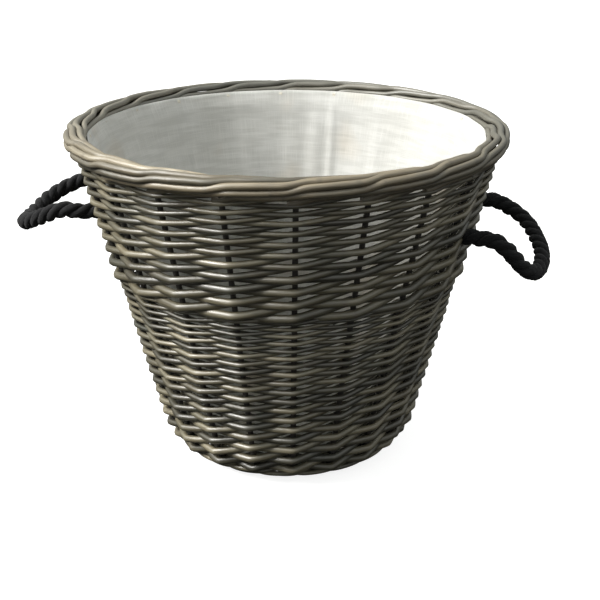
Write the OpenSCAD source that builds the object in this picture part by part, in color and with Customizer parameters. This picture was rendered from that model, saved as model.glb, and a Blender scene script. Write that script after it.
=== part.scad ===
// Round woven log basket: a willow base, twenty upright stakes, two bands of woven siding,
// a rolled border, a cloth liner and two rope handles that swing.
// The origin is the centre of the underside, +Z is up, and the handles are on the X axis.

/* [Basket] */
// Diameter over the border
rim_d = 500; // [480:5:510]
// Height from the floor to the top of the border
basket_h = 390; // [370:5:410]
// Radius of the ring that the basket stands on
foot_r = 115; // [110:1:120]
// Thickness of the woven wall
wall_t = 18; // [17:0.5:18.5]
// How far the wall leans out for each unit of height
wall_lean = 0.27; // [0.26:0.01:0.28]
// Radius of the bend between the base and the wall
corner_r = 59; // [57:1:61]

/* [Siding and border] */
// Height above the floor at which the second set of weaving rods starts
second_band_z = 228; // [200:1:260]
// Height of the rolled border
border_h = 22; // [20:1:24]
// Width of the rolled border from inside to outside
border_w = 27; // [27:0.5:29]

/* [Rods] */
// Diameter of an upright stake
stake_d = 6; // [5.4:0.2:6.6]
// Diameter of a base stick
stick_d = 8; // [7:0.5:8]
// Thickness of the woven base
base_t = 15; // [15:0.5:16]

/* [Rope handles] */
// Diameter of the rope
rope_d = 18; // [16:1:18]
// Angle from the X axis to each hole that a rope goes through
port_angle = 19; // [19:0.5:19.5]
// Height of the left rope's holes above the floor
left_port_z = 299; // [296:1:302]
// Height of the right rope's holes above the floor
right_port_z = 283; // [280:1:286]

/* [Liner] */
// Thickness of the cloth
cloth_t = 1.2; // [0.8:0.1:1.5]
// Gap between the cloth and the wall
liner_gap = 3; // [3:0.5:4]

/* [Hidden] */
$fn = 64;
stake_count = 20;
sticks_per_way = 5;
spoke_count = 4 * sticks_per_way;
function two_digits(n) = str(n < 10 ? "0" : "", n);
stake_names = [for (i = [1:stake_count]) str("stake_", two_digits(i))];
stick_names = [for (i = [1:2 * sticks_per_way]) str("base_stick_", two_digits(i))];

willow = [0.47, 0.43, 0.37];
dark_willow = [0.33, 0.30, 0.26];
pale_willow = [0.62, 0.57, 0.49];
cotton = [0.93, 0.91, 0.87];
black_rope = [0.09, 0.09, 0.10];

fit_gap = 0.3;
rim_r = rim_d / 2;
border_overhang = 8;
wall_top_z = basket_h - border_h;
wall_top_r = rim_r - border_overhang;
lean_angle = atan(wall_lean);
base_z = 2;
base_mid_z = base_z + base_t / 2;
base_edge_r = 104;
foot_top_z = base_z + base_t;

// The corner's arc starts where the straight wall ends and meets the floor at foot_r.
function wall_r(z) = wall_top_r - wall_lean * (wall_top_z - z);
function corner_axis(z) = [wall_r(z) - corner_r * cos(lean_angle), z + corner_r * sin(lean_angle)];
function corner_miss(z) = norm([foot_r, 0] - corner_axis(z)) - corner_r;
function corner_search(lo, hi, steps) =
    let (mid = (lo + hi) / 2)
    steps == 0 ? mid
    : corner_miss(mid) > 0 ? corner_search(lo, mid, steps - 1)
    : corner_search(mid, hi, steps - 1);
corner_low = 20;
corner_high = 60;
corner_z = corner_search(corner_low, corner_high, 24);
corner_c = corner_axis(corner_z);

// A point of the wall's section, sunk below the outer surface, at an angle round the corner.
function corner_point(sunk, angle) = corner_c + (corner_r - sunk) * [cos(angle), sin(angle)];
function straight_point(sunk, z) = [wall_r(z) - sunk / cos(lean_angle), z];
function corner_angle_at(sunk, z) = asin((z - corner_c[1]) / (corner_r - sunk));
function section_r(sunk, z) =
    z < corner_c[1] - (corner_r - sunk) * sin(lean_angle)
    ? corner_point(sunk, corner_angle_at(sunk, z))[0]
    : straight_point(sunk, z)[0];

// The wall's outline between two heights at one depth, with the corner as an arc.
corner_steps = 8;
function wall_line(sunk, z0, z1) =
    let (
        arc_end_z = corner_point(sunk, -lean_angle)[1],
        a0 = z0 < arc_end_z ? corner_angle_at(sunk, z0) : -lean_angle,
        a1 = -lean_angle
    )
    z0 < arc_end_z
    ? concat(
        [for (i = [0:corner_steps]) corner_point(sunk, a0 + (a1 - a0) * i / corner_steps)],
        [straight_point(sunk, z1)]
    )
    : [straight_point(sunk, z0), straight_point(sunk, z1)];

function reversed(list) = [for (i = [len(list) - 1:-1:0]) list[i]];

module wall_band(z0, z1) {
    rotate_extrude($fn = 120)
        polygon(concat(wall_line(0, z0, z1), reversed(wall_line(wall_t, z0, z1))));
}

// Stakes: a short leg in the base, two knees round the corner, then straight up the wall.
stake_sunk = wall_t / 2;
leg_in_r = 66;
leg_out_r = 113;
knee_angle = -45;
stake_top_z = wall_top_z + border_h / 3;
function stake_angle(i) = (i + 0.5) * 360 / stake_count;
stake_foot = [leg_out_r, base_mid_z];
stake_knee = corner_point(stake_sunk, knee_angle);
stake_hip = corner_point(stake_sunk, -lean_angle);
stake_top = straight_point(stake_sunk, stake_top_z);

// The leg lies beside a base stick, so it runs at a small angle to the stake's own plane.
stick_gap = 1.5;
leg_offset = (stick_d + stake_d) / 2 + stick_gap + fit_gap;
spoke_shift = asin(leg_offset / base_edge_r);
leg_length = leg_out_r - leg_in_r;

function at_plane(p) = [p[0], 0, p[1]];
leg_start = [
    leg_out_r - leg_length * cos(spoke_shift),
    leg_length * sin(spoke_shift),
    base_mid_z
];

module rod(from, to, d) {
    run = to - from;
    translate(from)
        rotate([0, acos(run[2] / norm(run)), atan2(run[1], run[0])])
            cylinder(h = norm(run), d = d, $fn = 24);
}

// A ball a little thicker than the rod covers each bend.
knee_extra = 0.6;

module knee(at, d) {
    translate(at)
        sphere(d = d + knee_extra, $fn = 24);
}

module stake_shape(extra = 0) {
    d = stake_d + extra;
    rod(leg_start, at_plane(stake_foot), d);
    knee(at_plane(stake_foot), d);
    rod(at_plane(stake_foot), at_plane(stake_knee), d);
    knee(at_plane(stake_knee), d);
    rod(at_plane(stake_knee), at_plane(stake_hip), d);
    knee(at_plane(stake_hip), d);
    rod(at_plane(stake_hip), at_plane(stake_top), d);
}

module stake(i) {
    color(dark_willow)
        rotate([0, 0, stake_angle(i)])
            stake_shape();
}

module straight_channels() {
    for (i = [0:stake_count - 1])
        rotate([0, 0, stake_angle(i)])
            rod(at_plane(stake_hip), at_plane(stake_top), stake_d + 2 * fit_gap);
}

module corner_channels() {
    for (i = [0:stake_count - 1])
        rotate([0, 0, stake_angle(i)])
            stake_shape(2 * fit_gap);
}

// Base sticks: five each way, the second five threaded through slits in the first, then
// fanned out so that their twenty ends are evenly spread.
stick_pitch = stick_d + 1;
stick_bend = 30;
stick_end_r = base_edge_r - 1;
slit_h = 5;
cross_w = sticks_per_way * stick_pitch;
slit_length = cross_w + 2;
shaved_length = cross_w + 1;
middle_stick = (sticks_per_way - 1) / 2;
fan_step = 360 / spoke_count;

module stick_arm(k, d) {
    bend = [k * stick_pitch, stick_bend, base_mid_z];
    end = [stick_end_r * sin(k * fan_step), stick_end_r * cos(k * fan_step), base_mid_z];
    rod(bend, end, d);
    knee(bend, d);
}

module stick_shape(k, d) {
    rod([k * stick_pitch, -stick_bend, base_mid_z], [k * stick_pitch, stick_bend, base_mid_z], d);
    stick_arm(k, d);
    mirror([0, 1, 0])
        stick_arm(k, d);
}

module slit_stick(k) {
    difference() {
        stick_shape(k, stick_d);
        translate([k * stick_pitch, 0, base_mid_z])
            cube([2 * stick_d, slit_length, slit_h], center = true);
    }
}

module threaded_stick(k) {
    shave = (slit_h - 2 * fit_gap) / 2;
    difference() {
        rotate([0, 0, 90])
            stick_shape(k, stick_d);
        for (side = [-1, 1])
            translate([0, k * stick_pitch, base_mid_z + side * (shave + stick_d / 2)])
                cube([shaved_length, 2 * stick_d, stick_d], center = true);
    }
}

base_turn = stake_angle(0) - spoke_shift;

module base_stick(i) {
    k = (i % sticks_per_way) - middle_stick;
    color(pale_willow)
        rotate([0, 0, base_turn])
            if (i < sticks_per_way)
                slit_stick(k);
            else
                threaded_stick(k);
}

weave_in_r = 37;

module stick_channels() {
    rotate([0, 0, base_turn])
        for (turn = [0:90:270], k = [-middle_stick:middle_stick])
            rotate([0, 0, turn])
                stick_arm(k, stick_d + 2 * fit_gap);
}

module leg_channels() {
    for (i = [0:stake_count - 1])
        rotate([0, 0, stake_angle(i)])
            rod(leg_start, at_plane(stake_foot), stake_d + 2 * fit_gap);
}

module base_weave() {
    color(willow)
        difference() {
            translate([0, 0, base_z])
                difference() {
                    cylinder(h = base_t, r = base_edge_r, $fn = 120);
                    translate([0, 0, -1])
                        cylinder(h = base_t + 2, r = weave_in_r);
                }
            stick_channels();
            leg_channels();
        }
}

foot_in_r = base_edge_r + fit_gap;
foot_steps = 4;
function foot_outline() =
    let (a0 = corner_angle_at(0, 0), a1 = corner_angle_at(0, foot_top_z))
    [for (i = [0:foot_steps]) corner_point(0, a0 + (a1 - a0) * i / foot_steps)];

// The first wale wraps the edge of the base and is the ring that stands on the floor.
module foot_wale() {
    color(willow)
        difference() {
            rotate_extrude($fn = 120)
                polygon(concat(
                    [[foot_in_r, 0]],
                    foot_outline(),
                    [[foot_in_r, foot_top_z]]
                ));
            corner_channels();
        }
}

module lower_siding() {
    color(willow)
        difference() {
            wall_band(foot_top_z, second_band_z);
            corner_channels();
        }
}

module upper_siding() {
    color(willow)
        difference() {
            wall_band(second_band_z, wall_top_z);
            straight_channels();
            rope_ports();
        }
}

border_round = 7;
border_in_r = rim_r - border_w;

module rounded_section(w, h, r) {
    polygon([
        for (corner = [[w - r, h - r, 0], [r, h - r, 90], [r, r, 180], [w - r, r, 270]])
            for (a = [0:22.5:90])
                [corner[0] + r * cos(corner[2] + a), corner[1] + r * sin(corner[2] + a)]
    ]);
}

module rim_border() {
    color(pale_willow)
        difference() {
            rotate_extrude($fn = 120)
                translate([border_in_r, wall_top_z])
                    rounded_section(border_w, border_h, border_round);
            straight_channels();
        }
}

// Rope: each handle is one rope. Its inner run lies against the wall between the two holes,
// and its outer loop swings about the line through the two points where it bends outside.
// A side is -1 on the left and 1 on the right.
rope_r = rope_d / 2;
hinge_out = 12.8;
rope_split = 0.6;
run_gap = 1.3;
port_d = rope_d + 2;
rope_sides = 12;
function port_z(side) = side < 0 ? left_port_z : right_port_z;
function hinge_r(side) = wall_r(port_z(side)) + hinge_out;
function stub_end_r(side) = hinge_r(side) - rope_r - rope_split;
function run_r(side) = straight_point(wall_t, port_z(side))[0] - rope_r - run_gap;
function turn_to(side) = side < 0 ? 180 : 0;

module rope_ports() {
    for (side = [-1, 1], port = [-1, 1])
        rotate([0, 0, turn_to(side) + port * port_angle])
            translate([run_r(side), 0, port_z(side)])
                rotate([0, 90, 0])
                    cylinder(h = hinge_r(side) - run_r(side), d = port_d, $fn = 48);
}

// Radius and angle from the X axis of half the inner run, from the middle to a hole.
function anchor_half(side) =
    let (r = run_r(side))
    [
        [r, 0], [r, 5], [r, 10], [r, 14], [r + 1, 17], [r + 5, 18.6],
        [r + 11, port_angle], [r + 19, port_angle], [stub_end_r(side), port_angle]
    ];
function polar(p, sign, z) = [p[0] * cos(p[1]), sign * p[0] * sin(p[1]), z];
function anchor_route(side) =
    let (half = anchor_half(side), z = port_z(side))
    concat(
        [for (i = [len(half) - 1:-1:1]) polar(half[i], -1, z)],
        [for (p = half) polar(p, 1, z)]
    );

// The loops between their two bends. The right one hangs lower than the left one.
loop_right = [
    [236, -81, 282], [249, -83, 273], [260, -81, 261], [269, -75, 250], [278, -65, 243],
    [285, -50, 239], [290, -33, 239], [293, -15, 242], [293, 3, 246], [291, 20, 250],
    [287, 37, 255], [281, 52, 261], [271, 65, 268], [257, 74, 275], [240, 79, 281]
];
loop_left = [
    [-239, -78, 301], [-255, -77, 297], [-271, -71, 289], [-285, -61, 282], [-296, -47, 275],
    [-304, -31, 270], [-309, -15, 266], [-311, 2, 265], [-310, 19, 266], [-306, 36, 270],
    [-299, 51, 276], [-287, 63, 283], [-272, 72, 289], [-256, 77, 295], [-240, 78, 299]
];
rounding = [0.94, 0.7, 0.4];
function bend_point(side, end) = [
    side * hinge_r(side) * cos(port_angle),
    end * hinge_r(side) * sin(port_angle),
    port_z(side)
];
function outward(side, end) = [side * cos(port_angle), end * sin(port_angle), 0];
function round_end(side, end) =
    [for (f = rounding) bend_point(side, end) - f * rope_r * outward(side, end)];
function loop_route(side, loop) = concat(
    round_end(side, -1),
    [bend_point(side, -1)],
    loop,
    [bend_point(side, 1)],
    reversed(round_end(side, 1))
);
function round_radii() = [for (f = rounding) rope_r * sqrt(1 - f * f)];
function loop_radii(loop) = concat(
    round_radii(),
    [for (i = [0:len(loop) + 1]) rope_r],
    reversed(round_radii())
);

// A round tube along a route: one ring of points for each route point.
function unit(v) = v / norm(v);
function heading(route, i) = unit(route[min(i + 1, len(route) - 1)] - route[max(i - 1, 0)]);
function ring(centre, dir, r) =
    let (
        u = unit([0, 0, 1] - dir[2] * dir),
        v = cross(dir, u)
    )
    [for (k = [0:rope_sides - 1])
        centre + r * (cos(360 * k / rope_sides) * u + sin(360 * k / rope_sides) * v)];

module tube(route, radii) {
    last = len(route) - 1;
    points = [for (i = [0:last], p = ring(route[i], heading(route, i), radii[i])) p];
    start = [for (k = [0:rope_sides - 1]) k];
    sides = [
        for (i = [0:last - 1], k = [0:rope_sides - 1])
            let (a = i * rope_sides, n = (k + 1) % rope_sides)
            [a + k, a + rope_sides + k, a + rope_sides + n, a + n]
    ];
    end = [for (k = [rope_sides - 1:-1:0]) last * rope_sides + k];
    polyhedron(points, concat([start], sides, [end]));
}

module rope_anchor(side) {
    color(black_rope)
        mirror([side < 0 ? 1 : 0, 0, 0])
            tube(anchor_route(side), [for (p = anchor_route(side)) rope_r]);
}

module rope_handle(side, loop) {
    color(black_rope)
        tube(loop_route(side, loop), loop_radii(loop));
}

// Liner: a cloth side with a bulge over each rope's inner run, and a round cloth floor.
liner_sunk = wall_t + liner_gap * cos(lean_angle);
edge_gap = 1.5;
liner_r = border_in_r - edge_gap;
liner_drop = 11;
liner_top_z = basket_h - liner_drop;
liner_turn_z = wall_top_z - (straight_point(liner_sunk, wall_top_z)[0] - liner_r) / wall_lean;
floor_z = foot_top_z + fit_gap;
liner_foot_z = floor_z + cloth_t;
liner_foot_r = section_r(wall_t, floor_z) - edge_gap;
liner_knee_z = foot_top_z + 9;
liner_knee = [section_r(wall_t, liner_knee_z) - liner_gap, liner_knee_z];
liner_hip_z = corner_z + 4;
liner_hip = straight_point(liner_sunk, liner_hip_z);
bulge_r = rope_r + 0.9;

// The bends of the inner run on its way out to the hole. The straighter part ends at the first.
first_bend = 4;
last_bend = 6;
function bends(side) = [for (i = [first_bend:last_bend]) anchor_half(side)[i]];

// The space inside the liner, drawn in by the cloth's thickness for the inner face.
module liner_space(inset, rise) {
    rotate_extrude($fn = 120)
        polygon([
            [0, liner_foot_z - rise],
            [liner_foot_r - inset, liner_foot_z - rise],
            [liner_knee[0] - inset, liner_knee[1]],
            [liner_hip[0] - inset, liner_hip[1]],
            [liner_r - inset, liner_turn_z],
            [liner_r - inset, liner_top_z + rise],
            [0, liner_top_z + rise]
        ]);
}

// A ball at each bend carries the bulge out with the rope. It is a little larger than the ring.
ball_extra = 0.2;

module rope_bulge(r) {
    for (side = [-1, 1])
        translate([0, 0, port_z(side)])
            rotate([0, 0, turn_to(side)]) {
                rotate([0, 0, -bends(side)[0][1]])
                    rotate_extrude(angle = 2 * bends(side)[0][1], $fn = 120)
                        translate([run_r(side), 0])
                            circle(r = r, $fn = 32);
                for (end = [-1, 1], bend = bends(side))
                    rotate([0, 0, end * bend[1]])
                        translate([bend[0], 0, 0])
                            sphere(r = r + ball_extra, $fn = 32);
            }
}

module liner_side() {
    color(cotton)
        difference() {
            difference() {
                liner_space(0, 0);
                rope_bulge(bulge_r);
            }
            difference() {
                liner_space(cloth_t, 1);
                rope_bulge(bulge_r + cloth_t);
            }
        }
}

module liner_floor() {
    color(cotton)
        translate([0, 0, floor_z])
            cylinder(h = cloth_t, r = liner_foot_r, $fn = 120);
}

stitch_d = 1.6;
stitch_z = liner_top_z - 6;
stitch_gap = 0.05;

// One thread tie beside each stake holds the liner's top edge to the border.
module liner_stitches() {
    tie_from = liner_r + stitch_gap;
    tie_to = border_in_r - stitch_gap;
    color(cotton)
        for (i = [0:stake_count - 1])
            rotate([0, 0, stake_angle(i)])
                translate([tie_from, 0, stitch_z])
                    rotate([0, 90, 0])
                        cylinder(h = tie_to - tie_from, d = stitch_d, $fn = 16);
}

base_weave();
foot_wale();
lower_siding();
upper_siding();
rim_border();
liner_side();
liner_floor();
liner_stitches();
rope_anchor(-1);  // rope_anchor_left
rope_anchor(1);  // rope_anchor_right
rope_handle(-1, loop_left);  // rope_handle_left
rope_handle(1, loop_right);  // rope_handle_right
for (i = [0:stake_count - 1])
    stake(i);
for (i = [0:2 * sticks_per_way - 1])
    base_stick(i);
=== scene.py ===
"""Round woven log basket with a cloth liner and two rope handles, around its CAD frame.

Lengths are in metres. The frame has Z up, X through the two handles and Y across.
"""

import math

import bpy
import numpy as np
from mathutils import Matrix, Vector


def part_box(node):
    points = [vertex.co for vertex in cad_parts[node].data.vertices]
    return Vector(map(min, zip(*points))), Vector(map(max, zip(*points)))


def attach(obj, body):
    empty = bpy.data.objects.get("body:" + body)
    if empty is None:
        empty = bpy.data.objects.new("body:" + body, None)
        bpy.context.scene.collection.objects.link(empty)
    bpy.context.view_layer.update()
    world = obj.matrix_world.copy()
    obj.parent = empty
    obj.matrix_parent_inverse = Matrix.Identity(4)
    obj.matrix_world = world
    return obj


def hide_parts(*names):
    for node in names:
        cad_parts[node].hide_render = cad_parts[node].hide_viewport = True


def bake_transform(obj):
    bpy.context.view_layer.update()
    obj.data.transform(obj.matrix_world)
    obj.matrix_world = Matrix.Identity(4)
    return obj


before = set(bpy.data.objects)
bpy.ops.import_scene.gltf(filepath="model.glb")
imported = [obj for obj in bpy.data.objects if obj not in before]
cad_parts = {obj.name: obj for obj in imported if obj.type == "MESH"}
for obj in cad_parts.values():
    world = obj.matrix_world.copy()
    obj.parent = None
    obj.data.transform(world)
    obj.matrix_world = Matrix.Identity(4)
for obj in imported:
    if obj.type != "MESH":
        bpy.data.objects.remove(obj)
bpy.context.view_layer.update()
rng = np.random.RandomState(20)

# ---------------------------------------------------------------- camera
CAMERA_AZIMUTH = math.radians(7)
CAMERA_DISTANCE = 1.346
CAMERA_HEIGHT = 0.699
CAMERA_PITCH = math.radians(21.36)
CAMERA_YAW = math.radians(0.62)
LENS_MM = 72.7
SENSOR_MM = 36

camera_data = bpy.data.cameras.new("camera")
camera_data.lens = LENS_MM
camera_data.sensor_width = SENSOR_MM
camera = bpy.data.objects.new("camera", camera_data)
camera.location = (
    CAMERA_DISTANCE * math.sin(CAMERA_AZIMUTH),
    -CAMERA_DISTANCE * math.cos(CAMERA_AZIMUTH),
    CAMERA_HEIGHT,
)
camera.rotation_euler = (math.pi / 2 - CAMERA_PITCH, 0, CAMERA_AZIMUTH - CAMERA_YAW)
bpy.context.collection.objects.link(camera)
bpy.context.scene.camera = camera

# ---------------------------------------------------------------- sizes, as in the CAD frame
STAKES = 20
BAY = math.radians(360 / STAKES)
RIM_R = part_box("rim_border")[1][0]
WALL_TOP_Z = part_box("rim_border")[0][2]
BORDER_OVERHANG = 0.008
WALL_TOP_R = RIM_R - BORDER_OVERHANG
WALL_LEAN = 0.27
LEAN = math.atan(WALL_LEAN)
FOOT_R = 0.115
CORNER_R = 0.059
WALL_T = 0.018
STAKE_R = 0.003
MID_R = CORNER_R - WALL_T / 2
FOOT_TOP_Z = 0.017
BASE_MID_Z = 0.0095
BASE_EDGE_R = 0.104
PORT_Z = {-1: 0.299, 1: 0.283}
PORT_ANGLE = math.radians(19)


def wall_r(z):
    """Radius of the wall's outer face where the wall is straight."""
    return WALL_TOP_R - WALL_LEAN * (WALL_TOP_Z - z)


def corner_centre():
    """Centre of the bend between the wall and the floor, found by halving."""
    low, high = 0.02, 0.06
    halvings = 30
    for _ in range(halvings):
        z = (low + high) / 2
        r, h = wall_r(z) - CORNER_R * math.cos(LEAN), z + CORNER_R * math.sin(LEAN)
        if math.hypot(FOOT_R - r, h) > CORNER_R:
            high = z
        else:
            low = z
    return r, h


CORNER = corner_centre()
ARC_START = math.asin((FOOT_TOP_Z - CORNER[1]) / MID_R)
ARC_LENGTH = (-LEAN - ARC_START) * MID_R


def distance_up(z):
    """Distance up the wall's middle to a height above the bend."""
    return ARC_LENGTH + (z - CORNER[1] + MID_R * math.sin(LEAN)) / math.cos(LEAN)


def wall_point(s, out):
    """Radius and height at a distance s up the wall's middle, and out from its middle."""
    s = np.asarray(s, float)
    a = np.where(s < ARC_LENGTH, ARC_START + s / MID_R, -LEAN)
    up = np.maximum(s - ARC_LENGTH, 0)
    r = CORNER[0] + (MID_R + out) * np.cos(a) - up * np.sin(a)
    z = CORNER[1] + (MID_R + out) * np.sin(a) + up * np.cos(a)
    return r, z


def round_points(r, angle, z):
    return np.stack([r * np.cos(angle), r * np.sin(angle), z], axis=-1)


def distance_along(line):
    """Distance along a line at each of its points."""
    return np.concatenate([[0], np.cumsum(np.linalg.norm(np.diff(line, axis=0), axis=1))])


def smoothed(values, width):
    """Values averaged over a bell-shaped window, with the end values held."""
    window = np.hanning(width)
    window /= window.sum()
    return np.convolve(np.pad(values, width, mode="edge"), window, mode="same")[width:-width]


SPLINE_STEPS = 12


def smooth_line(knots, count):
    """Points evenly spaced along a smooth curve through the knots."""
    p = np.asarray(knots, float)
    p = np.vstack([2 * p[0] - p[1], p, 2 * p[-1] - p[-2]])
    t = np.linspace(0, 1, SPLINE_STEPS, endpoint=False)[:, None]
    line = []
    for a, b, c, d in zip(p[:-3], p[1:-2], p[2:-1], p[3:]):
        line.append(
            0.5 * (2 * b + (c - a) * t + (2 * a - 5 * b + 4 * c - d) * t**2
                   + (3 * b - 3 * c + d - a) * t**3)
        )
    line = np.vstack(line + [p[-2:-1]])
    far = distance_along(line)
    at = np.linspace(0, far[-1], count)
    return np.stack([np.interp(at, far, line[:, i]) for i in range(line.shape[1])], axis=-1)


def soft_noise(count, step, size):
    """A smooth random wave: one value for each of count points, with a bump every step points."""
    knots = rng.uniform(-size, size, int(count / step) + 3)
    at = np.arange(count) / step
    low = at.astype(int)
    f = at - low
    f = f * f * (3 - 2 * f)
    return knots[low] * (1 - f) + knots[low + 1] * f


# ---------------------------------------------------------------- mesh of swept rods
def unit(v):
    return v / np.maximum(np.linalg.norm(v, axis=-1, keepdims=True), 1e-12)


def carried_frames(points):
    """Tangent and two cross directions at each point, carried along without twisting."""
    t = unit(np.gradient(points, axis=0))
    first = np.array([0.0, 0.0, 1.0])
    u = np.zeros_like(points)
    u[0] = unit(first - first.dot(t[0]) * t[0])
    for i in range(1, len(points)):
        u[i] = unit(u[i - 1] - u[i - 1].dot(t[i]) * t[i])
    return t, u, np.cross(t, u)


class Rods:
    """Rods collected into one mesh, with tint, grain and scar attributes for the material.

    Each rod gets its own tint and its own place in the grain.
    """

    def __init__(self):
        self.points, self.faces, self.tints, self.grain, self.scars = [], [], [], [], []
        self.count = 0

    def add(self, line, radii, sides=9, tint=None, scars=None, rough=0.0):
        n = len(line)
        radii = np.broadcast_to(radii, n)
        tint = rng.uniform() if tint is None else tint
        t, u, v = carried_frames(line)
        phi = 2 * np.pi * np.arange(sides) / sides
        around = np.cos(phi)[None, :, None] * u[:, None] + np.sin(phi)[None, :, None] * v[:, None]
        uneven = rng.uniform(-rough, rough, (n, sides, 1)) if rough else 0.0
        ring = line[:, None] + (radii[:, None, None] + uneven) * around
        far = distance_along(line)
        grain = np.zeros((n, sides, 3))
        grain[..., 0] = far[:, None] + rng.uniform(0, 50)
        grain[..., 1] = radii[:, None] * np.cos(phi) + rng.uniform(0, 5)
        grain[..., 2] = radii[:, None] * np.sin(phi)
        self.points.append(ring.reshape(-1, 3))
        self.grain.append(grain.reshape(-1, 3))
        self.tints.append(np.full(n * sides, tint))
        scar = np.zeros(n) if scars is None else scars
        self.scars.append(np.repeat(scar, sides))
        k = np.arange(sides)
        start = self.count + np.arange(n - 1)[:, None] * sides
        quads = np.stack(
            [
                start + k,
                start + (k + 1) % sides,
                start + sides + (k + 1) % sides,
                start + sides + k,
            ],
            axis=-1,
        )
        self.faces.extend(quads.reshape(-1, 4).tolist())
        last = self.count + (n - 1) * sides
        self.faces.append([self.count + i for i in range(sides - 1, -1, -1)])
        self.faces.append([last + i for i in range(sides)])
        self.count += n * sides

    def make(self, name, material):
        mesh = bpy.data.meshes.new(name)
        mesh.from_pydata(np.vstack(self.points).tolist(), [], self.faces)
        for key, values, kind in (
            ("tint", self.tints, "FLOAT"),
            ("scar", self.scars, "FLOAT"),
            ("grain", self.grain, "FLOAT_VECTOR"),
        ):
            layer = mesh.attributes.new(key, kind, "POINT")
            flat = np.concatenate(values).astype(np.float32).ravel()
            layer.data.foreach_set("vector" if kind == "FLOAT_VECTOR" else "value", flat)
        mesh.polygons.foreach_set("use_smooth", [True] * len(mesh.polygons))
        mesh.materials.append(material)
        piece = bpy.data.objects.new(name, mesh)
        bpy.context.collection.objects.link(piece)
        return piece


# ---------------------------------------------------------------- materials
class Nodes:
    """Short calls for building one material's nodes."""

    def __init__(self, name):
        self.material = bpy.data.materials.new(name)
        self.material.use_nodes = True
        self.tree = self.material.node_tree
        self.shader = self.tree.nodes["Principled BSDF"]

    def new(self, kind, **settings):
        node = self.tree.nodes.new(kind)
        for key, value in settings.items():
            setattr(node, key, value)
        return node

    def link(self, a, b):
        self.tree.links.new(a, b)

    def attribute(self, name):
        return self.new("ShaderNodeAttribute", attribute_name=name)

    def mapped(self, source, scale):
        node = self.new("ShaderNodeMapping")
        node.inputs["Scale"].default_value = scale
        self.link(source, node.inputs["Vector"])
        return node.outputs["Vector"]

    def noise(self, source, scale=1.0, detail=3.0, rough=0.55):
        node = self.new("ShaderNodeTexNoise")
        node.inputs["Scale"].default_value = scale
        node.inputs["Detail"].default_value = detail
        node.inputs["Roughness"].default_value = rough
        self.link(source, node.inputs["Vector"])
        return node.outputs["Fac"]

    def ramp(self, source, stops):
        node = self.new("ShaderNodeValToRGB")
        ramp = node.color_ramp
        while len(ramp.elements) < len(stops):
            ramp.elements.new(0.5)
        for element, (at, colour) in zip(ramp.elements, stops):
            element.position = at
            element.color = (*colour, 1)
        self.link(source, node.inputs["Fac"])
        return node.outputs["Color"]

    def range(self, source, low, high, to_low=0.0, to_high=1.0):
        node = self.new("ShaderNodeMapRange")
        ends = {"From Min": low, "From Max": high, "To Min": to_low, "To Max": to_high}
        for key, value in ends.items():
            node.inputs[key].default_value = value
        self.link(source, node.inputs["Value"])
        return node.outputs["Result"]

    def mix(self, kind, factor, a, b):
        node = self.new("ShaderNodeMix", data_type="RGBA", blend_type=kind)
        for socket, value in ((node.inputs[0], factor), (node.inputs[6], a), (node.inputs[7], b)):
            if isinstance(value, (int, float)):
                socket.default_value = value
            elif isinstance(value, tuple):
                socket.default_value = (*value, 1)
            else:
                self.link(value, socket)
        return node.outputs[2]

    def math(self, operation, a, b):
        node = self.new("ShaderNodeMath", operation=operation)
        for socket, value in zip(node.inputs, (a, b)):
            if isinstance(value, (int, float)):
                socket.default_value = value
            else:
                self.link(value, socket)
        return node.outputs[0]

    def bump(self, height, strength, distance):
        node = self.new("ShaderNodeBump")
        node.inputs["Strength"].default_value = strength
        node.inputs["Distance"].default_value = distance
        self.link(height, node.inputs["Height"])
        self.link(node.outputs["Normal"], self.shader.inputs["Normal"])

    def colour(self, source):
        self.link(source, self.shader.inputs["Base Color"])

    def roughness(self, source):
        self.link(source, self.shader.inputs["Roughness"])


def willow_material(name, stops, wash, gloss, swept=True, back_greying=0.0):
    """Washed willow: rods of several shades, long fibres, grey blotches and dark bud scars.

    The wash is a grey stain in blotches; the last argument makes the colour greyer towards the
    basket's back.
    """
    m = Nodes(name)
    place = m.new("ShaderNodeTexCoord").outputs["Object"]
    if swept:
        grain = m.attribute("grain").outputs["Vector"]
        fibres = m.noise(m.mapped(grain, (45, 1500, 1500)), detail=4)
        patches = m.noise(m.mapped(grain, (18, 120, 120)), detail=3)
        shade = m.attribute("tint").outputs["Fac"]
        scar = m.attribute("scar").outputs["Fac"]
    else:
        fibres = m.noise(m.mapped(place, (900, 900, 60)), detail=4)
        patches = m.noise(m.mapped(place, (60, 60, 20)), detail=3)
        shade = m.noise(m.mapped(place, (8, 8, 1)), detail=1)
        scar = m.range(patches, 0.72, 0.8)
    shade = m.math("ADD", shade, m.range(patches, 0.3, 0.7, -0.16, 0.16))
    base = m.ramp(shade, stops)
    base = m.mix("MULTIPLY", m.range(fibres, 0.35, 0.62, 0.75, 0.0), base, (0.5, 0.45, 0.4))
    stain = m.range(m.noise(m.mapped(place, (9, 9, 22)), detail=5, rough=0.65), 0.5, 0.68, 0, 0.55)
    # The colour turns greyer towards the basket's back.
    if back_greying:
        across = m.new("ShaderNodeSeparateXYZ")
        m.link(place, across.inputs[0])
        greyer = m.range(across.outputs["Y"], -0.21, -0.01, 0, back_greying)
        stain = m.math("MAXIMUM", stain, greyer)
    base = m.mix("MIX", stain, base, wash)
    base = m.mix("MIX", m.math("MULTIPLY", scar, 0.7), base, (0.05, 0.04, 0.03))
    m.colour(base)
    m.roughness(m.range(fibres, 0.3, 0.7, gloss, gloss + 0.2))
    m.bump(m.math("ADD", fibres, m.math("MULTIPLY", patches, 0.5)), 0.5, 0.0005)
    m.shader.inputs["Specular IOR Level"].default_value = 0.95
    return m.material


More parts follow.
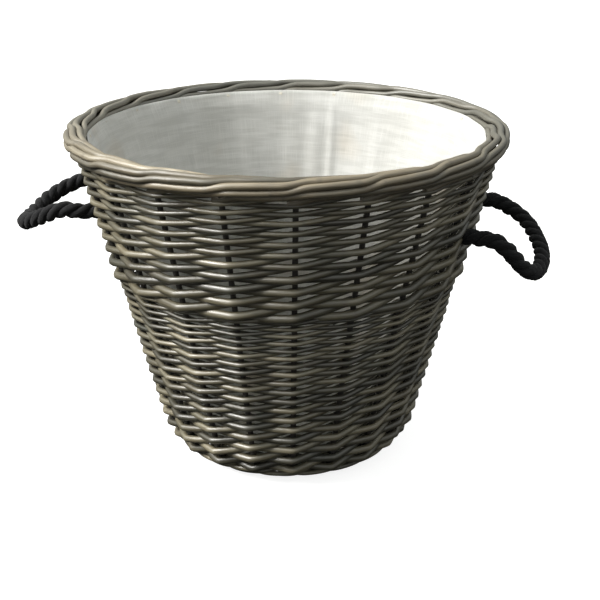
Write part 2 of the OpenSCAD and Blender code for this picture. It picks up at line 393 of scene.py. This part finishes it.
WALL_STOPS = [
    (0.0, (0.043, 0.040, 0.027)),
    (0.3, (0.078, 0.071, 0.048)),
    (0.6, (0.120, 0.107, 0.069)),
    (0.85, (0.170, 0.153, 0.103)),
    (1.0, (0.215, 0.190, 0.127)),
]
BORDER_STOPS = [
    (0.0, (0.080, 0.070, 0.045)),
    (0.35, (0.150, 0.125, 0.080)),
    (0.7, (0.225, 0.188, 0.124)),
    (1.0, (0.31, 0.27, 0.19)),
]
STAKE_STOPS = [
    (0.0, (0.010, 0.008, 0.006)),
    (1.0, (0.035, 0.029, 0.022)),
]
BASE_STOPS = [
    (0.0, (0.20, 0.15, 0.09)),
    (0.5, (0.30, 0.23, 0.15)),
    (1.0, (0.38, 0.31, 0.21)),
]
willow = willow_material("willow", WALL_STOPS, (0.040, 0.043, 0.033), 0.31)
border_willow = willow_material(
    "border_willow", BORDER_STOPS, (0.080, 0.081, 0.068), 0.40, back_greying=0.7
)
stake_willow = willow_material(
    "stake_willow", STAKE_STOPS, (0.012, 0.012, 0.011), 0.45, swept=False
)
base_willow = willow_material("base_willow", BASE_STOPS, (0.16, 0.13, 0.09), 0.4, swept=False)
base_weavers = willow_material("base_weavers", BASE_STOPS, (0.13, 0.115, 0.085), 0.38)


def cotton_material(name):
    """Off-white plain weave with thick and thin threads, through which light comes.

    The rods behind it are painted into its colour: their shade as faint level streaks, the light
    through them as warm patches.
    """
    m = Nodes(name)
    cloth = m.new("ShaderNodeUVMap", uv_map="cloth").outputs["UV"]
    across = m.noise(m.mapped(cloth, (28, 1400, 1)), detail=3)
    along = m.noise(m.mapped(cloth, (1400, 28, 1)), detail=3)
    slubs = m.math("MAXIMUM", across, along)
    soft = m.noise(m.mapped(cloth, (14, 9, 1)), detail=4)
    base = m.mix("MIX", m.range(slubs, 0.45, 0.75), (0.71, 0.71, 0.69), (0.85, 0.85, 0.835))
    base = m.mix("MULTIPLY", m.range(soft, 0.35, 0.7, 0.35, 0.0), base, (0.9, 0.89, 0.86))
    # Painted shade: faint level streaks where the rods behind the cloth shade it.
    painted_rod_shade = m.noise(m.mapped(cloth, (24, 150, 1)), detail=1)
    base = m.mix("MULTIPLY", m.range(painted_rod_shade, 0.42, 0.58, 0.0, 0.6), base, (0.86, 0.86, 0.85))
    # Painted light through the cloth: warm patches in the colour of the rods behind it.
    warm = m.noise(m.mapped(cloth, (9, 6, 1)), scale=1.7, detail=2)
    base = m.mix("MULTIPLY", m.range(warm, 0.56, 0.72, 0.0, 0.8), base, (0.93, 0.88, 0.82))
    m.colour(base)
    m.roughness(m.range(slubs, 0.3, 0.8, 0.95, 0.8))
    weave = []
    for axis in ("X", "Y"):
        wave = m.new("ShaderNodeTexWave", bands_direction=axis)
        wave.inputs["Scale"].default_value = 330
        wave.inputs["Distortion"].default_value = 1.5
        wave.inputs["Detail"].default_value = 2
        m.link(cloth, wave.inputs["Vector"])
        weave.append(wave.outputs["Fac"])
    threads = m.math("MAXIMUM", *weave)
    m.bump(m.math("ADD", threads, m.math("MULTIPLY", slubs, 1.5)), 0.35, 0.0004)
    through = m.new("ShaderNodeBsdfTranslucent")
    m.link(base, through.inputs["Color"])
    blend = m.new("ShaderNodeMixShader")
    blend.inputs[0].default_value = 0.45
    output = m.tree.nodes["Material Output"]
    m.link(m.shader.outputs[0], blend.inputs[1])
    m.link(through.outputs[0], blend.inputs[2])
    m.link(blend.outputs[0], output.inputs["Surface"])
    m.shader.inputs["Sheen Weight"].default_value = 0.15
    return m.material


ROPE_STOPS = [
    (0.3, (0.004, 0.004, 0.005)),
    (0.6, (0.012, 0.012, 0.013)),
    (0.8, (0.03, 0.03, 0.032)),
]


def rope_material(name):
    """Soft black cotton rope: fine yarns along each strand and a dull fuzz."""
    m = Nodes(name)
    grain = m.attribute("grain").outputs["Vector"]
    yarns = m.noise(m.mapped(grain, (160, 1500, 1500)), detail=4, rough=0.6)
    fluff = m.noise(m.mapped(grain, (900, 900, 900)), detail=3, rough=0.7)
    base = m.ramp(yarns, ROPE_STOPS)
    base = m.mix("MIX", m.range(fluff, 0.55, 0.8, 0, 0.5), base, (0.045, 0.045, 0.048))
    m.colour(base)
    m.roughness(m.range(fluff, 0.3, 0.7, 0.85, 1.0))
    m.bump(m.math("ADD", yarns, fluff), 0.7, 0.0008)
    m.shader.inputs["Sheen Weight"].default_value = 0.06
    m.shader.inputs["Sheen Roughness"].default_value = 0.6
    m.shader.inputs["Specular IOR Level"].default_value = 0.12
    return m.material


def thread_material(name):
    """Off-white sewing thread with its twist."""
    m = Nodes(name)
    grain = m.attribute("grain").outputs["Vector"]
    twist = m.noise(m.mapped(grain, (1200, 600, 600)), detail=2)
    m.colour(m.ramp(twist, [(0.3, (0.5, 0.46, 0.38)), (0.7, (0.78, 0.74, 0.65))]))
    m.roughness(m.range(twist, 0.3, 0.7, 0.7, 0.9))
    m.bump(twist, 0.6, 0.0003)
    return m.material


cotton = cotton_material("cotton")
rope_black = rope_material("rope_black")
thread = thread_material("thread")

# ---------------------------------------------------------------- ropes
ROPE_D = 0.018
STRANDS = 3
STRAND_D = ROPE_D / (1 + 2 / math.sqrt(3))
ROPE_LAY = 0.043
STRANDS_PRESSED = 0.9
STRAND_SWELL = 1.17
STRAND_UNEVEN = 0.07
ROPE_FUZZ = 0.0004
# How far outside the wall the rope runs straight out of its hole, and the gap between the inner
# run and the wall's inner face.
HINGE_OUT = 0.0128
ROPE_TO_WALL = 0.0013
# Each loop from its front hole to its back hole.
LOOP_RIGHT = [
    (0.236, -0.081, 0.282), (0.249, -0.083, 0.273), (0.260, -0.081, 0.261),
    (0.269, -0.075, 0.250), (0.278, -0.065, 0.243), (0.285, -0.050, 0.239),
    (0.290, -0.033, 0.239), (0.293, -0.015, 0.242), (0.293, 0.003, 0.246),
    (0.291, 0.020, 0.250), (0.287, 0.037, 0.255), (0.281, 0.052, 0.261),
    (0.271, 0.065, 0.268), (0.257, 0.074, 0.275), (0.240, 0.079, 0.281),
]
LOOP_LEFT = [
    (-0.239, -0.078, 0.301), (-0.255, -0.077, 0.297), (-0.271, -0.071, 0.289),
    (-0.285, -0.061, 0.282), (-0.296, -0.047, 0.275), (-0.304, -0.031, 0.270),
    (-0.309, -0.015, 0.266), (-0.311, 0.002, 0.265), (-0.310, 0.019, 0.266),
    (-0.306, 0.036, 0.270), (-0.299, 0.051, 0.276), (-0.287, 0.063, 0.283),
    (-0.272, 0.072, 0.289), (-0.256, 0.077, 0.295), (-0.240, 0.078, 0.299),
]


def run_r(side):
    """Radius of the middle of the rope where it lies on the wall's inner face."""
    return wall_r(PORT_Z[side]) - WALL_T / math.cos(LEAN) - ROPE_D / 2 - ROPE_TO_WALL


def port_point(side, end, r):
    """A point on the middle of one of a rope's two holes."""
    return (side * r * math.cos(PORT_ANGLE), end * r * math.sin(PORT_ANGLE), PORT_Z[side])


def rope_piece(name, line, lay_from):
    """Three strands twisted round each other along a line."""
    t, u, v = carried_frames(line)
    far = distance_along(line)
    rods = Rods()
    offset = (ROPE_D - STRAND_D) / 2 * STRANDS_PRESSED
    for k in range(STRANDS):
        turn = 2 * np.pi * (k / STRANDS - (far + lay_from) / ROPE_LAY)
        strand = line + offset * (np.cos(turn)[:, None] * u + np.sin(turn)[:, None] * v)
        radii = STRAND_D / 2 * (STRAND_SWELL + soft_noise(len(line), 5, STRAND_UNEVEN))
        rods.add(strand, radii, sides=16, tint=0.5, rough=ROPE_FUZZ)
    piece = rods.make(name, rope_black)
    return piece


def loop_rope(name, side, loop, node):
    """The rope outside the wall; it bends where it leaves the wall."""
    into_wall = 0.012
    wall = wall_r(PORT_Z[side])
    ends = [wall - into_wall, wall, wall + HINGE_OUT]
    knots = [port_point(side, -1, r) for r in ends] + loop
    knots += [port_point(side, 1, r) for r in reversed(ends)]
    line = smooth_line(knots, 300)
    piece = rope_piece(name, line, 0.0)
    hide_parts(node)
    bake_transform(piece)


def inner_rope(name, side, node):
    """The run behind the liner between the two holes."""
    run = run_r(side)
    # Radius and degrees round from the handle's middle.
    half = [
        (run, 0), (run, 5), (run, 10), (run, 14), (run + 0.001, 17),
        (run + 0.005, 18.6), (run + 0.011, 19), (run + 0.019, 19),
    ]
    route = [(r, -a) for r, a in reversed(half[1:])] + half
    knots = [
        (side * r * math.cos(math.radians(a)), r * math.sin(math.radians(a)), PORT_Z[side])
        for r, a in route
    ]
    piece = rope_piece(name, smooth_line(knots, 110), 0.01)
    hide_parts(node)
    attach(piece, "basket")


loop_rope("rope_loop_right", 1, LOOP_RIGHT, "rope_handle_right")
loop_rope("rope_loop_left", -1, LOOP_LEFT, "rope_handle_left")
inner_rope("rope_inner_right", 1, "rope_anchor_right")
inner_rope("rope_inner_left", -1, "rope_anchor_left")

# ---------------------------------------------------------------- woven wall
# Where a rod's rings lie between two stakes: close together where it bends over a stake.
KINKED_STEPS = [0, 0.035, 0.09, 0.18, 0.3, 0.42, 0.54, 0.66, 0.79, 0.9, 0.965]
WAVE_SHARPNESS = 0.998
# The rods press together: a rod swings out by less than the stake's and its own radius.
PRESSED = 0.88
ROD_FULLNESS = 0.525
ROD_SPREAD = (0.93, 1.06)
BUD_LENGTH = 0.0022
WALL_BUDS_APART = 0.085
BORDER_BUDS_APART = 0.11


def bud_scars(far, spacing):
    """How near each point is to a bud, with the buds unevenly spread along the rod."""
    scars = np.zeros(len(far))
    at = rng.uniform(0, spacing)
    while at < far[-1]:
        scars = np.maximum(scars, np.exp(-(((far - at) / BUD_LENGTH) ** 2)))
        at += spacing * rng.uniform(0.7, 1.3)
    return scars


def stake_wave(x):
    """-1 behind the even stakes, 1 in front of the odd ones, nearly straight between them."""
    return -np.arcsin(WAVE_SHARPNESS * np.cos(np.pi * x)) / math.asin(WAVE_SHARPNESS)


def woven_band(name, node, layers, height, first_stake):
    """Rods that start one at each stake, go in front of one stake and behind the next, and
    climb by one layer a stake. height gives a layer's distance up the wall."""
    rods = Rods()
    x = (np.arange(-1, layers + 1)[:, None] + np.array(KINKED_STEPS)).ravel()
    x = x[(x > -0.36) & (x < layers + 0.11)]
    for k in range(STAKES):
        pitch = np.gradient(height(x), x)
        thick = rng.uniform(*ROD_SPREAD) * (1 + soft_noise(len(x), 40, 0.04))
        radius = pitch * ROD_FULLNESS * thick
        swing = (STAKE_R + radius) * PRESSED
        out = swing * stake_wave(x) + soft_noise(len(x), 7, 0.0005)
        s = height(x) + soft_noise(len(x), 9, 0.0006)
        r, z = wall_point(s, out)
        line = round_points(r, (k + 0.5 + first_stake + x) * BAY, z)
        scars = bud_scars(distance_along(line), WALL_BUDS_APART)
        rods.add(line, radius * (1 + 0.05 * scars), sides=9, scars=scars * 0.6)
    piece = rods.make(name, willow)
    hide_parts(node)
    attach(piece, "basket")


LOWER_LAYERS = 36
UPPER_LAYERS = 22
UPPER_START_Z = 0.228


def lower_height(x):
    """Distance up the wall of the lower band's layer x, whose rods thin out upwards."""
    return 0.0034 + 0.00833 * x - 0.0000615 * x**2


def upper_height(x):
    """Distance up the wall of the upper band's layer x."""
    return distance_up(UPPER_START_Z) - 0.004 + (0.00854 * x - 0.000095 * x**2) * 1.036


woven_band("lower_rods", "lower_siding", LOWER_LAYERS, lower_height, 0)
woven_band("upper_rods", "upper_siding", UPPER_LAYERS, upper_height, 7)


def foot_wale():
    """Three rods twisted round the stakes twice at the edge of the base."""
    rods = Rods()
    weavers, rounds, steps = 3, 2, 12
    d = 0.0056
    bottom_s, rise_a_round = -0.0135, 0.0088
    x = np.linspace(0, rounds * STAKES + 2, (rounds * STAKES + 2) * steps)
    swing = STAKE_R + d / 2
    for m in range(weavers):
        phase = (x + m) % weavers
        out = np.interp(phase, [0, 0.5, 1, 1.5, 2, 2.5, 3], [-1, 0, 1, 1.12, 1, 0, -1]) * swing
        rise = np.interp(phase, [0, 0.5, 1, 2, 2.5, 3], [0, -0.5, -0.5, 0.5, 0.5, 0]) * d * 0.9
        s = bottom_s + rise_a_round * x / STAKES + smoothed(rise, steps)
        r, z = wall_point(s, smoothed(out, steps))
        line = round_points(r, (x + 0.5 + 12 + m * 0.05) * BAY, np.maximum(z, d / 2))
        rods.add(line, np.full(len(x), d / 2), sides=9)
    piece = rods.make("foot_wale_rods", willow)
    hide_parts("foot_wale")
    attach(piece, "basket")


foot_wale()

# Where a border rod lies in each bay it crosses (radius, height), and how far along its own
# path, in bays, it steps from each of these to the next.
BORDER_SLOTS = [
    (0.2313, 0.3560), (0.2400, 0.3702), (0.2452, 0.3753), (0.2457, 0.3826),
    (0.2386, 0.3862), (0.2308, 0.3852), (0.2268, 0.3788), (0.2288, 0.3715),
]
BORDER_STEPS = [0.12, 1.0, 2.0, 3.02, 4.06, 4.88, 5.95]
BORDER_HALF_STEP = 0.13
BORDER_FROM, BORDER_TO = -0.12, 6.1
BORDER_POINTS = 170
BORDER_ROD_R = 0.0037
# How much a rod keeps to its steps, and not to an even drift between them: radius, height.
BORDER_STEPPED = (0.85, 0.55)


def rolled_border():
    """Each stake's rod comes out over the siding, climbs the outside and turns in over the top."""
    rods = Rods()
    u = np.linspace(BORDER_FROM, BORDER_TO, BORDER_POINTS)
    knots = [(BORDER_FROM, BORDER_SLOTS[0])]
    for at, before, after in zip(BORDER_STEPS, BORDER_SLOTS, BORDER_SLOTS[1:]):
        knots += [(at - BORDER_HALF_STEP, before), (at + BORDER_HALF_STEP, after)]
    at_u = [k[0] for k in knots]
    mid_slots = BORDER_SLOTS[1:7]
    mid_u = np.arange(len(mid_slots)) + 0.5
    for k in range(STAKES):
        way = []
        for axis, stepped in enumerate(BORDER_STEPPED):
            plain = np.interp(u, at_u, [q[1][axis] for q in knots])
            drift = np.interp(u, mid_u, [q[axis] for q in mid_slots])
            value = smoothed(stepped * plain + (1 - stepped) * drift, 9)
            way.append(value + soft_noise(len(u), 15, 0.0005))
        line = round_points(way[0], (k + 0.5 + u) * BAY, way[1])
        scars = bud_scars(distance_along(line), BORDER_BUDS_APART)
        size = BORDER_ROD_R * rng.uniform(*ROD_SPREAD)
        radii = size * np.interp(u, [-0.15, 4, 6.1], [1.04, 1, 0.8]) * (1 + 0.06 * scars)
        rods.add(line, radii, sides=12, scars=scars * 0.5)
    piece = rods.make("border_rods", border_willow)
    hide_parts("rim_border")
    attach(piece, "basket")


rolled_border()


def base_rods():
    """Pairs of rods twisted round the spokes of the base, from the middle out to its edge."""
    rods = Rods()
    d = 0.0052
    half_swing = 0.0048
    inner, outer = 0.040, BASE_EDGE_R - 0.0005
    turns = (outer - inner) / (d * 1.02)
    points_a_bay = 5
    angle = np.linspace(0, 2 * np.pi * turns, int(turns * STAKES * points_a_bay))
    r = inner + (outer - inner) * angle / angle[-1]
    for m in range(2):
        twist = STAKES / 2 * angle + np.pi * m
        z = BASE_MID_Z + half_swing * np.cos(twist)
        line = round_points(r + d * 0.3 * np.sin(twist), angle, z)
        rods.add(line, np.full(len(r), d / 2), sides=8, tint=0.4 + 0.25 * m)
    piece = rods.make("base_weavers", base_weavers)
    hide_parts("base_weave")
    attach(piece, "basket")


def recolour(nodes, material):
    for name in nodes:
        materials = bpy.data.objects[name].data.materials
        materials.clear()
        materials.append(material)


base_rods()
recolour([f"stake_{i:02d}" for i in range(1, STAKES + 1)], stake_willow)
recolour([f"base_stick_{i:02d}" for i in range(1, 11)], base_willow)

# ---------------------------------------------------------------- liner
CLOTH_T = 0.0012
LINER_DEPTH = 0.0225
LINER_TOP_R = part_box("liner_side")[1][0] - CLOTH_T / 2
LINER_TOP_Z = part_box("liner_side")[1][2]
LINER_ROWS = 100
LINER_COLUMNS = 450
# The cloth's own metres across for each radian round.
CLOTH_A_RADIAN = 0.18
FULL_PHASE = 6.28
MM = 0.001
# Upright folds: degrees round, half width in degrees, depth in mm.
LINER_FOLDS = [
    (84, 1.6, 2.6), (90, 3.0, 1.6), (111, 3, 1.6), (132, 1.3, 1.5), (61, 3.5, 2.2), (38, 3, 2.0),
    (12, 4, 2.5), (170, 3.5, 2.2), (205, 4, 2.5), (240, 3, 2.0), (275, 4, 2.6), (310, 3, 2.2),
    (340, 3.5, 2.4),
]
# Loose waves: how many round, size. Level creases: waves round, creases up, size.
LINER_WAVES = [(7, 1.2), (11, 1.0), (17, 0.8), (29, 0.5), (43, 0.35)]
LINER_CREASES = [(5, 19, 1.0), (8, 31, 0.7), (13, 47, 0.45)]
WAVE_DEPTH = 0.0007
CREASE_DEPTH = 0.0006
PUCKER_DEPTH = 0.0006
TOP_FLARE = 0.0032
# The bulge over each rope: its depth, half height and half width round.
BULGE_DEPTH = 0.0165
BULGE_HALF_Z = 0.010
BULGE_HALF_ANGLE = math.radians(21)


def liner_profile(rows):
    """Radius and height up the liner's side, from the edge of its floor to its top edge."""
    arc_r = CORNER_R - LINER_DEPTH
    a = np.radians(np.linspace(-76, -math.degrees(LEAN), 10))
    corner = np.stack([CORNER[0] + arc_r * np.cos(a), CORNER[1] + arc_r * np.sin(a)], axis=-1)
    hip = corner[-1]
    turn_z = hip[1] + (LINER_TOP_R - hip[0]) / WALL_LEAN
    top = [(LINER_TOP_R, min(turn_z, LINER_TOP_Z - 0.004)), (LINER_TOP_R, LINER_TOP_Z)]
    line = np.vstack([corner, top])
    far = distance_along(line)
    at = np.linspace(0, far[-1], rows)
    return np.interp(at, far, line[:, 0]), np.interp(at, far, line[:, 1]), at


def angle_gap(angle, at):
    """Signed angle from one direction to others, from -pi to pi."""
    return (angle - at + np.pi) % (2 * np.pi) - np.pi


def liner_folds(angle, share):
    """How far in from the wall each point is pushed by the upright folds."""
    inward = np.zeros((len(share), len(angle)))
    body = np.sin(np.pi * np.clip(share * 1.02, 0, 1)) ** 0.5
    for at, wide, deep in LINER_FOLDS:
        lean = math.radians(at) + 0.06 * np.sin(3 * share + at)
        gap = angle_gap(angle[None, :], lean[:, None])
        width = math.radians(wide) * (0.7 + 0.8 * (1 - share))[:, None]
        inward += deep * MM * body[:, None] * np.exp(-((gap / width) ** 2))
    return inward


def liner_waves(angle, share):
    """How far in each point is pushed by the loose waves and the level creases."""
    inward = np.zeros((len(share), len(angle)))
    loose = (np.sin(np.pi * share) ** 0.4)[:, None]
    for waves, size in LINER_WAVES:
        a, b = rng.uniform(0, FULL_PHASE, 2)
        across = np.sin(waves * angle[None, :] + a + 1.6 * np.sin(4 * share + b)[:, None])
        inward += WAVE_DEPTH * size * (1 + across) * loose
    for waves, creases_up, size in LINER_CREASES:
        a, b = rng.uniform(0, FULL_PHASE, 2)
        bent = 2.5 * np.sin(waves * angle + b)[None, :]
        creases = np.sin(creases_up * share[:, None] + a + bent)
        patches = 0.5 + 0.5 * np.sin(3 * angle + b)[None, :]
        inward += CREASE_DEPTH * size * (1 + creases) * patches * loose
    return inward


def liner_edge_and_bulges(angle, share, z):
    """The puckers between the ties, the flare under the border and the bulge over each rope."""
    below_top = 1 - share[:, None]
    pucker = np.cos(STAKES * (angle - BAY / 2))[None, :]
    inward = PUCKER_DEPTH * (1 - pucker) * np.exp(-(below_top / 0.05) ** 2)
    inward -= TOP_FLARE * np.clip(1 - below_top / 0.04, 0, 1) ** 0.7
    for side, turn in ((1, 0), (-1, np.pi)):
        run = np.exp(-(((z - PORT_Z[side]) / BULGE_HALF_Z) ** 2))[:, None]
        near = 1 / (1 + np.exp((np.abs(angle_gap(angle, turn)) - BULGE_HALF_ANGLE) / 0.035))
        inward += BULGE_DEPTH * run * near[None, :]
    return inward


def cloth_faces(rows, columns):
    """Faces of two layers of rings, facing apart, and of the strips that join their edges."""
    half = rows * columns
    j = np.arange(columns)
    k = (j + 1) % columns
    i = np.arange(rows - 1)[:, None] * columns
    quads = np.stack([i + j, i + k, i + columns + k, i + columns + j], axis=-1).reshape(-1, 4)
    last = half - columns
    rim = np.stack([last + j, last + k, half + last + k, half + last + j], axis=-1)
    foot = np.stack([k, j, half + j, half + k], axis=-1)
    return np.concatenate([quads, quads[:, ::-1] + half, rim, foot])


def liner_side():
    """The liner's side: two layers of mesh a cloth's thickness apart, hung inside the wall."""
    r, z, up = liner_profile(LINER_ROWS)
    angle = np.linspace(0, 2 * np.pi, LINER_COLUMNS, endpoint=False)
    share = up / up[-1]
    inward = liner_folds(angle, share) + liner_waves(angle, share)
    inward += liner_edge_and_bulges(angle, share, z)
    outer = r[:, None] - inward
    layers = [
        round_points(q, angle[None, :], z[:, None] + 0 * q).reshape(-1, 3)
        for q in (outer, outer - CLOTH_T)
    ]
    faces = cloth_faces(LINER_ROWS, LINER_COLUMNS)
    across = np.broadcast_to(angle * CLOTH_A_RADIAN, (LINER_ROWS, LINER_COLUMNS))
    uv = np.stack([across, np.repeat(up[:, None], LINER_COLUMNS, 1)], axis=-1)
    uv = np.concatenate([uv.reshape(-1, 2)] * 2)[faces]
    # The faces that close the round take their far corners from one whole turn on.
    closing = uv[..., 0].max(axis=1) - uv[..., 0].min(axis=1) > 0.5
    low_side = closing[:, None] & (uv[..., 0] < 0.5)
    uv[..., 0] += np.where(low_side, 2 * np.pi * CLOTH_A_RADIAN, 0)
    piece = cloth_mesh("liner_cloth", np.concatenate(layers), faces, uv)
    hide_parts("liner_side")
    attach(piece, "basket")


def cloth_mesh(name, points, faces, corner_uv):
    mesh = bpy.data.meshes.new(name)
    mesh.from_pydata(points.tolist(), [], faces.tolist())
    layer = mesh.uv_layers.new(name="cloth")
    layer.data.foreach_set("uv", corner_uv.astype(np.float32).ravel())
    mesh.polygons.foreach_set("use_smooth", [True] * len(mesh.polygons))
    mesh.materials.append(cotton)
    piece = bpy.data.objects.new(name, mesh)
    bpy.context.collection.objects.link(piece)
    return piece


liner_side()


def liner_floor():
    """The round floor of the liner, laid on the base with a few soft ripples."""
    rings, columns = 40, 160
    centre_r = 0.0008
    r_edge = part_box("liner_floor")[1][0] - 0.0005
    z0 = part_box("liner_floor")[0][2]
    r = np.linspace(0.0, 1.0, rings) ** 0.8 * r_edge
    r[0] = centre_r
    angle = np.linspace(0, 2 * np.pi, columns, endpoint=False)
    x = r[:, None] * np.cos(angle)
    y = r[:, None] * np.sin(angle)
    lift = 0.0006 * (1 + np.sin(38 * x + 21 * y + 1.2 * np.sin(60 * y)))
    lift += 0.0004 * (1 + np.sin(70 * y - 33 * x))
    lift *= 1 - (r[:, None] / r_edge) ** 6
    lower = np.stack([x, y, z0 + lift], axis=-1)
    upper = lower + np.array([0, 0, CLOTH_T])
    points = np.concatenate([lower.reshape(-1, 3), upper.reshape(-1, 3)])
    faces = cloth_faces(rings, columns)
    uv = np.concatenate([np.stack([x, y], axis=-1).reshape(-1, 2)] * 2)
    piece = cloth_mesh("liner_floor_cloth", points, faces, uv[faces])
    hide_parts("liner_floor")
    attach(piece, "basket")


liner_floor()


def stitches():
    """At each stake a few turns of thread round the border's inner rod and through the cloth."""
    rods = Rods()
    thread_r = 0.0005
    turns, turn_apart = 3, 0.006
    middle_r, middle_z = RIM_R - 0.0255, LINER_TOP_Z - 0.006
    ring = np.linspace(0, 2 * np.pi, 17)
    r = middle_r + 0.0036 * np.cos(ring)
    h = middle_z + 0.0042 * np.sin(ring)
    for i in range(STAKES):
        for turn in range(turns):
            a = (i + 0.5) * BAY + (turn - 1) * turn_apart
            line = round_points(r, a + 0.003 * ring / FULL_PHASE, h)
            rods.add(line, np.full(len(line), thread_r), sides=6)
    piece = rods.make("liner_thread", thread)
    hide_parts("liner_stitches")
    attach(piece, "basket")


stitches()

# ---------------------------------------------------------------- floor, light and world
FLOOR_HALF = 60
# Just under the basket, so that the two never share a plane.
FLOOR_Z = -0.0005
floor_mesh = bpy.data.meshes.new("floor")
corners = [(a * FLOOR_HALF, b * FLOOR_HALF, 0) for a, b in ((-1, -1), (1, -1), (1, 1), (-1, 1))]
floor_mesh.from_pydata(corners, [], [(0, 1, 2, 3)])
floor = bpy.data.objects.new("floor", floor_mesh)
floor.location.z = FLOOR_Z
bpy.context.collection.objects.link(floor)
floor.visible_diffuse = False
floor.visible_glossy = False
pale = bpy.data.materials.new("pale_floor")
pale.use_nodes = True
pale_shader = pale.node_tree.nodes["Principled BSDF"]
pale_shader.inputs["Base Color"].default_value = (0.35, 0.35, 0.35, 1)
pale_shader.inputs["Roughness"].default_value = 0.9
pale_shader.inputs["Emission Color"].default_value = (1, 1, 1, 1)
pale_shader.inputs["Emission Strength"].default_value = 0.85
floor_mesh.materials.append(pale)

KEY_AZIMUTH = math.radians(-75)
KEY_HEIGHT = math.radians(40)
key_data = bpy.data.lights.new("key", "SUN")
key_data.energy = 7.0
key_data.angle = math.radians(30)
key_data.color = (1.0, 0.985, 0.95)
key = bpy.data.objects.new("key", key_data)
key.rotation_euler = (math.pi / 2 - KEY_HEIGHT, 0, KEY_AZIMUTH)
bpy.context.collection.objects.link(key)

# The light all round is strongest from above.
world = bpy.data.worlds.new("studio")
bpy.context.scene.world = world
world.use_nodes = True
sky = world.node_tree
height = sky.nodes.new("ShaderNodeSeparateXYZ")
sky.links.new(sky.nodes.new("ShaderNodeTexCoord").outputs["Generated"], height.inputs[0])
fade = sky.nodes.new("ShaderNodeMapRange")
for key_name, value in {"From Min": -0.3, "From Max": 1.0, "To Min": 0.02, "To Max": 1.2}.items():
    fade.inputs[key_name].default_value = value
sky.links.new(height.outputs["Z"], fade.inputs["Value"])
sky.links.new(fade.outputs["Result"], sky.nodes["Background"].inputs["Strength"])
sky.nodes["Background"].inputs["Color"].default_value = (0.97, 1.0, 0.97, 1)
bpy.context.scene.view_settings.view_transform = "Standard"
